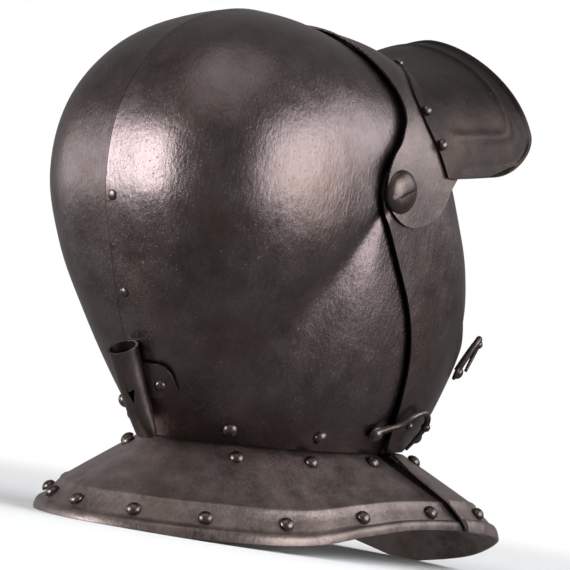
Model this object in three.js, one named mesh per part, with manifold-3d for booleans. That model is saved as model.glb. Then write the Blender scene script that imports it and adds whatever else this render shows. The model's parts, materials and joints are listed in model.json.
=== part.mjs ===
// Cuirassier helmet: a close helmet of thin steel plates with a pivoted peak, visor and bevor.
// Millimetres, +Z up, front towards -Y, standing on the rear rim and the front point of its neck plates.

import * as THREE from 'three';
import { mergeVertices } from 'three/addons/utils/BufferGeometryUtils.js';
import Module from 'manifold-3d';

const wasm = await Module();
wasm.setup();

// Driving dimensions
const PIVOT_HEIGHT = 218.5;
const PIVOT_Y = 23.7;
const LEAN = 4.4;
const HALF_WIDTH = 97;
const GAP = 0.3;
const SKULL_WALL = 1.8;
const PLATE_WALL = 1.2;
const NECK_WALL = 1.6;
const PEAK_WALL = 1.5;
const VISOR_OFFSET = 0.6;
const BEVOR_OFFSET = 3;
const BROW_PIVOT_OFFSET = 5.5;
const BROW_CROWN_OFFSET = 2.4;
const BROW_FRONT_RISE = 2.8;
const BROW_TEMPLE_RISE = 5;
const NECK_LINE = -158;
const KEEL_HEIGHT = 2.2;
const KEEL_SPREAD = 16;
const PIVOT_BORE = 4.8;
const SCREW_SHANK = 4.2;
const SCREW_HEAD_RADIUS = 13;
const SCREW_HEAD_HEIGHT = 5;
const SCREW_SLOT = 2.2;
const SCREW_SLOT_DEPTH = 2;
const SCREW_SLOT_TURN = -28;
const NUT_RADIUS = 8;
const NUT_HEIGHT = 4;
const NUT_GAP = 0.9;
const RIVET_RADIUS = 4.4;
const RIVET_HEIGHT = 2.8;
const SEAM_RIVET_RADIUS = 3.2;
const SEAM_RIVET_HEIGHT = 0.9;
const SIGHT_WIDTH = 46;
const SIGHT_HEIGHT = 6;
const SIGHT_DEPTH = 90;
const SIGHT_SIDE = 36;
const SIGHT_FORWARD = 100;
const SIGHT_UP = 16;
const HOOK_WIRE = 1.8;
const HOOK_TIP_WIRE = 1.26;
const HOOK_KNOB = 2.9;
const HOOK_EYE_RADIUS = 5;
const HOOK_EYE_WALL = 2;
const HOOK_EYE_LIFT = 2.7;
const HOOK_EYE_BORE = 2.5;
const HOOK_STEM_RADIUS = 1.8;
const HOOK_STEM_LENGTH = 5.4;
const HOOK_RIVET_LIFT = 5.6;
const HOOK_RIVET_RADIUS = 4;
const HOOK_RIVET_HEIGHT = 2.4;
const HOOK_STUD_RADIUS = 2.6;
const HOOK_STUD_HEIGHT = 2;

// Facets round the pivot axis and from side to side
const ROUND_STEPS = 40;
const CROSS_STEPS = 14;

// Outline of the head in the middle plane, as reach from the pivot axis, and how full its section is.
// Angle 0 is forward, 90 up, 180 back.
const HEAD = [
  { angle: -98, reach: 189, fullness: 2.2 },
  { angle: -75, reach: 191, fullness: 2.7 },
  { angle: -62, reach: 185, fullness: 3.1 },
  { angle: -50, reach: 170, fullness: 3.2 },
  { angle: -36, reach: 154, fullness: 3.2 },
  { angle: -24, reach: 136, fullness: 3.0 },
  { angle: -10, reach: 118, fullness: 2.7 },
  { angle: 8, reach: 104, fullness: 2.5 },
  { angle: 35, reach: 97, fullness: 2.3 },
  { angle: 65, reach: 93, fullness: 2.2 },
  { angle: 85, reach: 92, fullness: 2.15 },
  { angle: 105, reach: 101, fullness: 2.15 },
  { angle: 125, reach: 113, fullness: 2.35 },
  { angle: 145, reach: 127, fullness: 2.6 },
  { angle: 165, reach: 137, fullness: 2.85 },
  { angle: 185, reach: 139, fullness: 3.0 },
  { angle: 205, reach: 139, fullness: 2.8 },
  { angle: 222, reach: 150, fullness: 2.2 },
  { angle: 240, reach: 172, fullness: 1.7 },
];

// Side view outlines of the plates, forward and up from the pivot
const SKULL_OUTLINE = [
  [36, 220], [30, 92], [26, 60], [22, 25], [22, 0], [20, -20], [26, -43], [38, -70], [50, -98], [56, -123],
  [56.5, -143], [54, NECK_LINE], [-260, NECK_LINE], [-260, 220],
];
const BEVOR_OUTLINE = [
  [-11, 11], [-13.5, 1], [-11.5, -9], [-4.5, -20], [9.5, -43], [18.5, -57], [25, -68.5], [32, -84.5], [36, -98],
  [41, -123], [45.5, -143], [49, -151], [53, -157], [260, -157], [260, -112], [125, -104], [104, -91],
  [92.5, -78], [81, -60], [73.5, -42], [68, -24], [63, -9], [55, 4], [36, 12], [10, 15],
];
const VISOR_OUTLINE = [
  [-9, 9], [-12, -2], [-5, -10], [20, -9], [44, -2], [56.5, 4], [64.5, -9], [69.5, -24], [75, -42], [82.5, -60],
  [94, -77.5], [105, -90], [126, -103], [260, -111], [260, 260], [66, 84], [50, 66], [41, 50], [40, 32],
  [42, 16], [26, 11], [4, 12],
];
const BROW_OUTLINE = [
  [4, 220], [6, 92], [10, 73], [13, 57], [10, 43], [6, 37], [0, 28.5], [-7, 21], [-11.5, 13], [-13, 5],
  [-10.5, -6], [-5, -12.5], [2, -17.5], [11.5, -20], [22.5, -18.5], [33.5, -14], [42, -8.5], [51.5, 5],
  [59, 12], [51, 30], [47, 46], [52, 60], [64, 68], [80, 76], [140, 220],
];

// Where the peak leaves the brow plate, forward and up from the pivot
const PEAK_BASE = [
  { up: 0, forward: 62 },
  { up: 11, forward: 55 },
  { up: 29, forward: 45 },
  { up: 50, forward: 36 },
  { up: 64, forward: 38 },
  { up: 74, forward: 48 },
  { up: 82, forward: 64 },
  { up: 100, forward: 96 },
];
const PEAK_FOOT = 12;
const PEAK_HALF_WIDTH = 81;
const PEAK_EDGE_FOOT = 39;
const PEAK_EDGE_RISE = 60;
const PEAK_EDGE_FULLNESS = 1.7;
const PEAK_EDGE_FORWARD = 150;
const PEAK_EDGE_SET_BACK = 15;
const PEAK_EDGE_DROP = 17;
const PEAK_CORNER_BEARING = 15;
const PEAK_CORNER_LENGTH = 0.54;
const PEAK_FLANGE = 10;
const PEAK_ROLL = 1.2;
const PEAK_LENGTHS = [-1, 0, 0.08, 0.3, 0.5, 0.7, 0.82, 0.94, 1];
const PEAK_BEARINGS = 36;

// Flare of the neck plates, from the neck line to the rim, by bearing from the front
const NECK_CENTRE = 5;
const NECK_FLARE = [
  { bearing: 0, out: 72, drop: 76.5 },
  { bearing: 20, out: 73, drop: 64 },
  { bearing: 36, out: 70, drop: 48 },
  { bearing: 50, out: 55, drop: 42 },
  { bearing: 65, out: 44, drop: 41 },
  { bearing: 90, out: 40, drop: 45 },
  { bearing: 115, out: 47, drop: 51.5 },
  { bearing: 140, out: 56, drop: 52.5 },
  { bearing: 160, out: 59, drop: 52.5 },
  { bearing: 180, out: 60, drop: 52 },
];
// Section of a neck plate: collar, flare, border and turned edge. Its wall is thickened across the slope
// where tilt is 1, and straight outwards where tilt is 0.
const NECK_PROFILE = [
  { out: 0, drop: -0.16, wall: 0.6, tilt: 0 },
  { out: 0, drop: 0, wall: 0.6, tilt: 0 },
  { out: 0.08, drop: 0.09, wall: 1, tilt: 1 },
  { out: 0.78, drop: 0.66, wall: 1, tilt: 1 },
  { out: 0.94, drop: 0.87, wall: 1.2, tilt: 1 },
  { out: 1, drop: 0.95, wall: 2.2, tilt: 0.8 },
  { out: 1.01, drop: 1, wall: 2.1, tilt: 0 },
];
const NECK_INSET = 5.2;
const GORGET_OUTSET = 0.1;
const GORGET_LIFT = 2.4;
const GORGET_END = 51;
const NECK_END = 40;
const NECK_STEPS = 40;
const GORGET_STEPS = 20;

// Rivets on the side of the head, forward and up from the pivot, with the layer that carries them
const SIDE_RIVETS = [
  { name: 'skull_base_rivet_1', forward: -56, up: -150, hand: -1, offset: 0 },
  { name: 'skull_base_rivet_2', forward: -6, up: -150, hand: -1, offset: 0 },
  { name: 'skull_base_rivet_3', forward: -80, up: -141, hand: 1, offset: 0 },
  { name: 'skull_base_rivet_4', forward: -56, up: -150, hand: 1, offset: 0 },
  { name: 'skull_base_rivet_5', forward: -6, up: -150, hand: 1, offset: 0 },
  { name: 'bevor_rivet_1', forward: 84, up: -147, hand: -1, offset: BEVOR_OFFSET + PLATE_WALL },
  { name: 'bevor_rivet_2', forward: 84, up: -147, hand: 1, offset: BEVOR_OFFSET + PLATE_WALL },
];
const SEAM_RIVETS = [
  { name: 'seam_rivet_1', angle: 188.5, side: -5 },
  { name: 'seam_rivet_2', angle: 212, side: -6 },
];

// Rivets on the neck plates, by bearing from the front and by how far down the flare they sit
const TOP_RIVETS = [60, 102, 142, 201, 218, 258];
const BORDER_RIVETS = [59, 91, 123, 147, 166, 183, 200, 216, 240, 269, 301];
const GORGET_RIVETS = [-43, -26, 26, 43];
const GORGET_TOP_RIVETS = [-38, 38];
const TOP_ROW = { out: 0.18, drop: 0.171, wall: 1.25, tilt: 1 };
const BORDER_ROW = { out: 0.89, drop: 0.804, wall: 1.45, tilt: 1 };
const PEAK_RIVETS = [-79, -67, -34, 0, 34, 67, 79];
const PEAK_GAP = 0.6;
const PEAK_RIVET_RADIUS = 3.4;
const PEAK_RIVET_HEIGHT = 2.2;
const PEAK_RIVET_ROW = -0.58;

// Routes of the two swing hooks on the right side: forward and up from the pivot, and off the skull
const SIDE_HOOK = {
  rivet: { forward: 33, up: -144, offset: 0 },
  route: [[33, -144, 3.4], [40, -141, 5], [46, -138.5, 6.6], [52, -133, 8], [60, -130, 9], [66, -133, 9.6],
    [69, -139, 9.6]],
  tip: [[69, -139, 9.6], [67, -146, 8.8], [64.5, -154, 8]],
  stud: { forward: 59, up: -139, offset: BEVOR_OFFSET + PLATE_WALL },
};
const FRONT_HOOK = {
  rivet: { forward: 104, up: -104, offset: BEVOR_OFFSET + PLATE_WALL },
  route: [[104, -104, 6.6], [106, -97, 8], [109, -90, 10], [112, -85, 12], [115, -83, 13], [117, -86.5, 13.4]],
  tip: [[117, -86.5, 13.4], [116, -93, 12.6], [112, -104, 11.4]],
};

// Plume holder: its axis runs down the nape from the mouth to the pinched foot
const PLUME_MOUTH = { side: -7, forward: -119, up: -107.5 };
const PLUME_FOOT = { side: -7, forward: -91, up: -158 };
const PLUME_RADIUS = 9;
const PLUME_WALL = 1.4;
const PLUME_RIVET = { angle: 232.5, side: -20, radius: 3.8, height: 2.4 };
const PLUME_TAB = { from: 1, to: 30, high: -116, low: -135, gap: 1, wall: 1.6, steps: 6, round: 2.5 };

const STEEL = { color: 0x40383a, roughness: 0.42, metalness: 0.9 };
const DARK_STEEL = { color: 0x332d2c, roughness: 0.5, metalness: 0.9 };

// Small mathematics
const radians = (degrees) => THREE.MathUtils.degToRad(degrees);
const point = (x, y, z) => new THREE.Vector3(x, y, z);

// Smooth curve through the rows of a table, by one column
function along(table, key, column, value, closed = false) {
  const last = table.length - 1;
  const row = (i) => {
    if (!closed) return table[THREE.MathUtils.clamp(i, 0, last)];
    const turn = Math.floor(i / table.length);
    const base = table[i - turn * table.length];
    return { ...base, [key]: base[key] + 360 * turn };
  };
  let at = value;
  if (closed) at = THREE.MathUtils.euclideanModulo(value - table[0][key], 360) + table[0][key];
  let i = 0;
  while (i < last - (closed ? 0 : 1) && row(i + 1)[key] <= at) i += 1;
  const [a, b, c, d] = [row(i - 1), row(i), row(i + 1), row(i + 2)];
  const span = c[key] - b[key];
  const t = THREE.MathUtils.clamp((at - b[key]) / span, 0, 1);
  const before = b[key] - a[key];
  const after = d[key] - c[key];
  const slope = (p, q, r, left, right) => {
    if (left === 0) return (r[column] - q[column]) / right;
    if (right === 0) return (q[column] - p[column]) / left;
    const s0 = (q[column] - p[column]) / left;
    const s1 = (r[column] - q[column]) / right;
    return (s0 * right + s1 * left) / (left + right);
  };
  const m0 = slope(a, b, c, before, span) * span;
  const m1 = slope(b, c, d, span, after) * span;
  const h = t * t * (3 - 2 * t);
  const e0 = t * (1 - t) * (1 - t);
  const e1 = t * t * (t - 1);
  return b[column] * (1 - h) + c[column] * h + m0 * e0 + m1 * e1;
}

const reachAt = (angle) => along(HEAD, 'angle', 'reach', angle, true);
const fullnessAt = (angle) => along(HEAD, 'angle', 'fullness', angle, true);

// From forward and up of the pivot, in the helmet's own lean, to the part's frame
function place(side, forward, up) {
  const c = Math.cos(radians(LEAN));
  const s = Math.sin(radians(LEAN));
  return point(side, PIVOT_Y - forward * c + up * s, PIVOT_HEIGHT + up * c + forward * s);
}

// The keel runs from the crown down the back
function keelAt(angle, side) {
  const turned = THREE.MathUtils.euclideanModulo(angle, 360);
  const rise = THREE.MathUtils.smoothstep(turned, 84, 110);
  const fade = 1 - THREE.MathUtils.smoothstep(turned, 205, 232);
  return KEEL_HEIGHT * rise * fade * Math.exp(-Math.abs(side) / KEEL_SPREAD);
}

// One point of the head's surface: angle round the pivot axis, cross from -90 (right) to 90 (left)
function headPoint(angle, cross, offset) {
  const power = 2 / fullnessAt(angle);
  const lift = typeof offset === 'function' ? offset(angle, cross) : offset;
  const c = Math.max(Math.cos(radians(cross)), 0) ** power;
  const s = Math.abs(Math.sin(radians(cross))) ** power;
  const side = Math.sign(cross) * (HALF_WIDTH + lift) * s;
  const reach = (reachAt(angle) + lift) * c + keelAt(angle, side);
  return place(side, reach * Math.cos(radians(angle)), reach * Math.sin(radians(angle)));
}

// How far to the side the head's surface lies, at a point of the side view
function sideAt(forward, up, offset) {
  const angle = THREE.MathUtils.radToDeg(Math.atan2(up, forward));
  const fullness = fullnessAt(angle);
  const ratio = Math.hypot(forward, up) / (reachAt(angle) + offset);
  return (HALF_WIDTH + offset) * Math.max(1 - ratio ** fullness, 0) ** (1 / fullness);
}

// A point of the head's surface with its outward normal
function headSpot(angle, cross, offset) {
  const step = 0.4;
  const around = headPoint(angle + step, cross, offset).sub(headPoint(angle - step, cross, offset));
  const over = headPoint(angle, cross + step, offset).sub(headPoint(angle, cross - step, offset));
  const spot = headPoint(angle, cross, offset);
  const normal = around.cross(over).normalize();
  const inward = place(0, 0, -30).sub(spot);
  if (normal.dot(inward) > 0) normal.negate();
  return { spot, normal };
}

// The same, from a point of the side view
function viewSpot(forward, up, hand, offset) {
  const angle = THREE.MathUtils.radToDeg(Math.atan2(up, forward));
  const ratio = Math.min(Math.hypot(forward, up) / (reachAt(angle) + offset), 1);
  const cross = THREE.MathUtils.radToDeg(Math.acos(ratio ** (fullnessAt(angle) / 2)));
  return headSpot(angle, hand * cross, offset);
}

// The same, from an angle and a distance to the side
function seamSpot(angle, side, offset) {
  const ratio = Math.abs(side) / (HALF_WIDTH + offset);
  const cross = THREE.MathUtils.radToDeg(Math.asin(ratio ** (fullnessAt(angle) / 2)));
  return headSpot(angle, Math.sign(side) * cross, offset);
}

// Closed bodies from lists of points and faces
function bodyFrom(points, faces) {
  const geometry = new THREE.BufferGeometry();
  geometry.setAttribute('position', new THREE.Float32BufferAttribute(points.flatMap((p) => p.toArray()), 3));
  geometry.setIndex(faces.flat());
  return geometry;
}

function toSolid(geometry) {
  const bare = geometry.clone();
  bare.deleteAttribute('normal');
  bare.deleteAttribute('uv');
  const merged = mergeVertices(bare, 1e-4);
  const vertProperties = new Float32Array(merged.attributes.position.array);
  const triVerts = new Uint32Array(merged.index.array);
  return new wasm.Manifold(new wasm.Mesh({ numProp: 3, vertProperties, triVerts }));
}

function toGeometry(solid) {
  const mesh = solid.getMesh();
  const geometry = new THREE.BufferGeometry();
  geometry.setAttribute('position', new THREE.Float32BufferAttribute(Array.from(mesh.vertProperties), 3));
  geometry.setIndex(Array.from(mesh.triVerts));
  return geometry;
}

// The head as a ball whose poles are the two pivots
function headBall(offset) {
  const points = [headPoint(0, -90, offset), headPoint(0, 90, offset)];
  const faces = [];
  const index = (i, j) => 2 + (i % ROUND_STEPS) * (CROSS_STEPS - 1) + (j - 1);
  for (let i = 0; i < ROUND_STEPS; i += 1) {
    for (let j = 1; j < CROSS_STEPS; j += 1) {
      points.push(headPoint((360 * i) / ROUND_STEPS, (180 * j) / CROSS_STEPS - 90, offset));
    }
    faces.push([0, index(i, 1), index(i + 1, 1)]);
    faces.push([1, index(i + 1, CROSS_STEPS - 1), index(i, CROSS_STEPS - 1)]);
    for (let j = 1; j < CROSS_STEPS - 1; j += 1) {
      faces.push([index(i, j), index(i + 1, j + 1), index(i + 1, j)]);
      faces.push([index(i, j), index(i, j + 1), index(i + 1, j + 1)]);
    }
  }
  return toSolid(bodyFrom(points, faces));
}

// A cutter with a side view outline, from one side of the head to the other
function sideCutter(outline, from = -180, to = 180) {
  const shape = new THREE.Shape(outline.map(([forward, up]) => new THREE.Vector2(-forward, up)));
  const geometry = new THREE.ExtrudeGeometry(shape, { depth: to - from, bevelEnabled: false });
  geometry.rotateX(Math.PI / 2);
  geometry.rotateZ(Math.PI / 2);
  geometry.rotateX(-radians(LEAN));
  geometry.translate(from, PIVOT_Y, PIVOT_HEIGHT);
  return toSolid(geometry);
}

// A rod along the side to side axis at the pivot
function pivotRod(radius, from, to, sides = 20) {
  const geometry = new THREE.CylinderGeometry(radius, radius, Math.abs(to - from), sides);
  geometry.rotateZ(Math.PI / 2);
  geometry.translate((from + to) / 2, PIVOT_Y, PIVOT_HEIGHT);
  return geometry;
}

const pivotBore = toSolid(pivotRod(PIVOT_BORE, -200, 200));

// A plate of the head: the layer between two offsets inside a side view outline
function headPlate(inner, outer, cutter) {
  return headBall(outer).subtract(headBall(inner)).intersect(cutter).subtract(pivotBore);
}

const helmet = new THREE.Group();

function add(name, geometry, finish = STEEL) {
  const mesh = new THREE.Mesh(geometry, new THREE.MeshStandardMaterial(finish));
  mesh.name = name;
  helmet.add(mesh);
}

// Skull, in two halves that meet on the keel
function addSkull() {
  const halves = [
    { name: 'skull_right', from: -180, to: -GAP / 2 },
    { name: 'skull_left', from: GAP / 2, to: 180 },
  ];
  for (const half of halves) {
    const cutter = sideCutter(SKULL_OUTLINE, half.from, half.to);
    add(half.name, toGeometry(headPlate(-SKULL_WALL, 0, cutter)));
  }
}

// Brow plate: it stands further off at the pivots and temples, where the other plates pass under it
function browOffset(angle, cross) {
  const turned = THREE.MathUtils.euclideanModulo(angle + 180, 360) - 180;
  const side = Math.abs(cross);
  const pivot = THREE.MathUtils.smoothstep(side, 50, 80);
  const front = 1 - THREE.MathUtils.smoothstep(turned, 58, 88);
  const temple = 1 - THREE.MathUtils.smoothstep(turned, 18, 62);
  const beside = THREE.MathUtils.smoothstep(side, 28, 52);
  const crown = BROW_CROWN_OFFSET + BROW_FRONT_RISE * front + BROW_TEMPLE_RISE * temple * beside;
  return crown + (BROW_PIVOT_OFFSET - crown) * pivot;
}

function addFacePlates() {
  const bevorCut = sideCutter(BEVOR_OUTLINE);
  add('bevor', toGeometry(headPlate(BEVOR_OFFSET, BEVOR_OFFSET + PLATE_WALL, bevorCut)));
  let visor = headPlate(VISOR_OFFSET, VISOR_OFFSET + PLATE_WALL, sideCutter(VISOR_OUTLINE));
  for (const hand of [-1, 1]) visor = visor.subtract(sightCutter(hand));
  add('visor', toGeometry(visor));
  const outer = (angle, cross) => browOffset(angle, cross) + PLATE_WALL;
  add('brow_plate', toGeometry(headPlate(browOffset, outer, sideCutter(BROW_OUTLINE))));
}

// The visor's sights, one slit on each side of the nose
function sightCutter(hand) {
  const slit = new THREE.BoxGeometry(SIGHT_WIDTH, SIGHT_DEPTH, SIGHT_HEIGHT);
  slit.translate(hand * SIGHT_SIDE, -SIGHT_FORWARD, SIGHT_UP);
  slit.rotateX(-radians(LEAN));
  slit.translate(0, PIVOT_Y, PIVOT_HEIGHT);
  return toSolid(slit);
}

// A bent sheet as a closed body: a grid of outer and inner points with its four borders closed
function sheet(rows, columns, at) {
  const points = [];
  const faces = [];
  const index = (side, i, j) => (side * (rows + 1) + i) * (columns + 1) + j;
  for (const side of [0, 1]) {
    for (let i = 0; i <= rows; i += 1) {
      for (let j = 0; j <= columns; j += 1) points.push(at(i, j, side));
    }
  }
  const quad = (a, b, c, d) => faces.push([a, b, c], [a, c, d]);
  for (let i = 0; i < rows; i += 1) {
    for (let j = 0; j < columns; j += 1) {
      quad(index(0, i, j), index(0, i + 1, j), index(0, i + 1, j + 1), index(0, i, j + 1));
      quad(index(1, i, j), index(1, i, j + 1), index(1, i + 1, j + 1), index(1, i + 1, j));
    }
    quad(index(0, i, 0), index(1, i, 0), index(1, i + 1, 0), index(0, i + 1, 0));
    quad(index(0, i, columns), index(0, i + 1, columns), index(1, i + 1, columns), index(1, i, columns));
  }
  for (let j = 0; j < columns; j += 1) {
    quad(index(0, 0, j), index(0, 0, j + 1), index(1, 0, j + 1), index(1, 0, j));
    quad(index(0, rows, j), index(1, rows, j), index(1, rows, j + 1), index(0, rows, j + 1));
  }
  return bodyFrom(points, faces);
}

// Faces of a closed body turned outwards
function facingOut(geometry) {
  const solid = toSolid(geometry);
  if (solid.volume() > 0) return toGeometry(solid);
  const flipped = geometry.clone();
  const index = Array.from(flipped.index.array);
  for (let i = 0; i < index.length; i += 3) [index[i], index[i + 1]] = [index[i + 1], index[i]];
  flipped.setIndex(index);
  return toGeometry(toSolid(flipped));
}

// Peak: a hood from an arch on the brow plate to a wider, flatter arch in front
const peakBaseForward = (up) => along(PEAK_BASE, 'up', 'forward', up);

function browSide(forward, up, lift) {
  const angle = THREE.MathUtils.radToDeg(Math.atan2(up, forward));
  const bare = sideAt(forward, up, 0);
  const cross = THREE.MathUtils.radToDeg(Math.asin((bare / HALF_WIDTH) ** (fullnessAt(angle) / 2)));
  return sideAt(forward, up, browOffset(angle, cross) + PLATE_WALL + PEAK_GAP + lift);
}

function peakBase(bearing, back, lift) {
  let low = 0;
  let high = 160;
  const upAt = (reach) => PEAK_FOOT + reach * Math.cos(radians(bearing));
  for (let i = 0; i < 40; i += 1) {
    const middle = (low + high) / 2;
    const up = upAt(middle);
    const side = middle * Math.sin(radians(Math.abs(bearing)));
    if (side < browSide(peakBaseForward(up) - back, up, lift)) low = middle;
    else high = middle;
  }
  const up = upAt(low);
  return { side: low * Math.sin(radians(bearing)), forward: peakBaseForward(up) - back, up };
}

function peakEdge(bearing) {
  const power = 2 / PEAK_EDGE_FULLNESS;
  const c = Math.max(Math.cos(radians(bearing)), 0) ** power;
  const s = Math.abs(Math.sin(radians(bearing))) ** power;
  const low = Math.abs(bearing / 90) ** 7;
  return {
    side: Math.sign(bearing) * PEAK_HALF_WIDTH * s,
    forward: PEAK_EDGE_FORWARD - PEAK_EDGE_SET_BACK * c,
    up: PEAK_EDGE_FOOT + PEAK_EDGE_RISE * c - PEAK_EDGE_DROP * low,
  };
}

// The peak's two front corners are round: near them, bearing and length are drawn in from a square to a circle
function peakCorner(bearing, length) {
  const x = 1 - (90 - Math.abs(bearing)) / PEAK_CORNER_BEARING;
  const y = 1 - (1 - length) / PEAK_CORNER_LENGTH;
  if (x <= 0 || y <= 0) return [bearing, length];
  const drawnX = x * Math.sqrt(1 - (y * y) / 2);
  const drawnY = y * Math.sqrt(1 - (x * x) / 2);
  const turned = 90 - PEAK_CORNER_BEARING * (1 - drawnX);
  return [Math.sign(bearing) * turned, 1 - PEAK_CORNER_LENGTH * (1 - drawnY)];
}

// The flange lies on the brow plate, the hood runs straight from its root to its edge
function peakPoint(bearing, length, lift) {
  const base = peakBase(bearing, Math.max(-length, 0) * PEAK_FLANGE, lift);
  if (length <= 0) return place(base.side, base.forward, base.up);
  const edge = peakEdge(bearing);
  const mix = (key) => base[key] + (edge[key] - base[key]) * length;
  const out = Math.sin(radians(bearing)) * lift * length;
  return place(mix('side') + out, mix('forward'), mix('up') + Math.cos(radians(bearing)) * lift * length);
}

function addPeak() {
  const at = (i, j, side) => {
    const length = PEAK_LENGTHS[i];
    const roll = length > 0.9 ? PEAK_ROLL : 0;
    const lift = side === 0 ? PEAK_WALL + roll : -roll;
    return peakPoint(...peakCorner((180 * j) / PEAK_BEARINGS - 90, length), lift);
  };
  add('peak', facingOut(sheet(PEAK_LENGTHS.length - 1, PEAK_BEARINGS, at)));
}

// Neck plates: a flared skirt round the neck, worked out along bearings from the front
function neckReach(bearing, offset) {
  let low = 0;
  let high = 220;
  for (let i = 0; i < 40; i += 1) {
    const middle = (low + high) / 2;
    const side = middle * Math.abs(Math.sin(radians(bearing)));
    const forward = NECK_CENTRE + middle * Math.cos(radians(bearing));
    if (side < sideAt(forward, NECK_LINE, offset)) low = middle;
    else high = middle;
  }
  return low;
}

function neckPoint(bearing, row, lift, offset) {
  const round = Math.abs(THREE.MathUtils.euclideanModulo(bearing + 180, 360) - 180);
  const out = along(NECK_FLARE, 'bearing', 'out', round);
  const drop = along(NECK_FLARE, 'bearing', 'drop', round);
  const steep = Math.atan2(drop, out);
  const outwards = 1 - row.tilt * (1 - Math.sin(steep));
  const reach = neckReach(bearing, offset) + row.out * (out - offset) + lift * outwards;
  const up = NECK_LINE - row.drop * drop + lift * row.tilt * Math.cos(steep);
  const side = -reach * Math.sin(radians(bearing));
  const spot = place(side, NECK_CENTRE + reach * Math.cos(radians(bearing)), up);
  spot.z = Math.max(spot.z, 0);
  return spot;
}

// How far a neck plate's inner face is lifted, row by row: only the flare of the gorget is lifted
const liftAt = (row, lift) => lift * THREE.MathUtils.smoothstep(row.drop, 0, 0.09);

function neckSheet(from, to, steps, lift, offset) {
  const at = (i, j, side) => {
    const row = NECK_PROFILE[i];
    const wall = side === 0 ? NECK_WALL * row.wall : 0;
    return neckPoint(from + ((to - from) * j) / steps, row, liftAt(row, lift) + wall, offset);
  };
  return facingOut(sheet(NECK_PROFILE.length - 1, steps, at));
}

function addNeckPlates() {
  add('neck_plate', neckSheet(NECK_END, 360 - NECK_END, NECK_STEPS, 0, -NECK_INSET));
  add('front_gorget', neckSheet(-GORGET_END, GORGET_END, GORGET_STEPS, GORGET_LIFT, GORGET_OUTSET));
}

// A domed head on a surface, standing along its normal
function dome(spot, normal, radius, height, sides = 8) {
  const profile = [[0, 0], [radius, 0], [radius * 0.72, height * 0.75], [0, height]];
  const geometry = new THREE.LatheGeometry(profile.map(([x, y]) => new THREE.Vector2(x, y)), sides);
  return stood(geometry, spot, normal);
}

function stood(geometry, spot, normal) {
  const turn = new THREE.Quaternion().setFromUnitVectors(point(0, 1, 0), normal);
  geometry.applyQuaternion(turn);
  geometry.translate(spot.x, spot.y, spot.z);
  return toSolid(geometry);
}

function addRivet(name, { spot, normal }, radius = RIVET_RADIUS, height = RIVET_HEIGHT) {
  add(name, toGeometry(dome(spot.addScaledVector(normal, GAP), normal, radius, height)), DARK_STEEL);
}

// A point of a neck plate's outer face with its outward normal
function neckSpot(bearing, row, lift, offset) {
  const at = (turn, down) => {
    const moved = { ...row, out: row.out + down, drop: row.drop + down };
    return neckPoint(bearing + turn, moved, lift, offset);
  };
  const normal = at(1, 0).sub(at(-1, 0)).cross(at(0, 0.02).sub(at(0, -0.02))).normalize();
  if (normal.z < 0) normal.negate();
  return { spot: at(0, 0), normal };
}

function addRivets() {
  for (const rivet of SIDE_RIVETS) {
    addRivet(rivet.name, viewSpot(rivet.forward, rivet.up, rivet.hand, rivet.offset));
  }
  for (const rivet of SEAM_RIVETS) {
    addRivet(rivet.name, seamSpot(rivet.angle, rivet.side, 0), SEAM_RIVET_RADIUS, SEAM_RIVET_HEIGHT);
  }
  const neckRow = (name, bearings, row, lift, offset) => {
    bearings.forEach((bearing, i) => {
      addRivet(`${name}_${i + 1}`, neckSpot(bearing, row, lift + NECK_WALL * row.wall, offset));
    });
  };
  neckRow('neck_top_rivet', TOP_RIVETS, TOP_ROW, 0, -NECK_INSET);
  neckRow('neck_border_rivet', BORDER_RIVETS, BORDER_ROW, 0, -NECK_INSET);
  neckRow('gorget_rivet', GORGET_RIVETS, BORDER_ROW, GORGET_LIFT, GORGET_OUTSET);
  neckRow('gorget_top_rivet', GORGET_TOP_RIVETS, TOP_ROW, GORGET_LIFT, GORGET_OUTSET);
  PEAK_RIVETS.forEach((bearing, i) => {
    const at = (turn, down) => peakPoint(bearing + turn, PEAK_RIVET_ROW + down, PEAK_WALL + 2 * GAP);
    const spot = at(0, 0);
    const normal = at(1, 0).sub(at(-1, 0)).cross(at(0, 0.2).sub(at(0, -0.2))).normalize();
    if (normal.dot(place(0, 0, 0).sub(spot)) > 0) normal.negate();
    addRivet(`peak_rivet_${i + 1}`, { spot, normal }, PEAK_RIVET_RADIUS, PEAK_RIVET_HEIGHT);
  });
}

// Pivot screws: a domed slotted head outside, a shank through all the plates and a nut inside
function addScrews() {
  const seat = HALF_WIDTH + BROW_PIVOT_OFFSET + PLATE_WALL + GAP;
  for (const [name, hand] of [['pivot_screw_right', -1], ['pivot_screw_left', 1]]) {
    const centre = point(hand * seat, PIVOT_Y, PIVOT_HEIGHT);
    const head = dome(centre, point(hand, 0, 0), SCREW_HEAD_RADIUS, SCREW_HEAD_HEIGHT, 20);
    const inner = HALF_WIDTH - SKULL_WALL - NUT_GAP;
    const shank = toSolid(pivotRod(SCREW_SHANK, hand * (inner - NUT_HEIGHT), hand * (seat + 1)));
    const nut = toSolid(pivotRod(NUT_RADIUS, hand * (inner - NUT_HEIGHT), hand * inner, 6));
    const slot = new THREE.BoxGeometry(2 * SCREW_SLOT_DEPTH, 3 * SCREW_HEAD_RADIUS, SCREW_SLOT);
    slot.rotateX(radians(SCREW_SLOT_TURN));
    slot.translate(hand * (seat + SCREW_HEAD_HEIGHT), PIVOT_Y, PIVOT_HEIGHT);
    add(name, toGeometry(head.add(shank).add(nut).subtract(toSolid(slot))), DARK_STEEL);
  }
}

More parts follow.
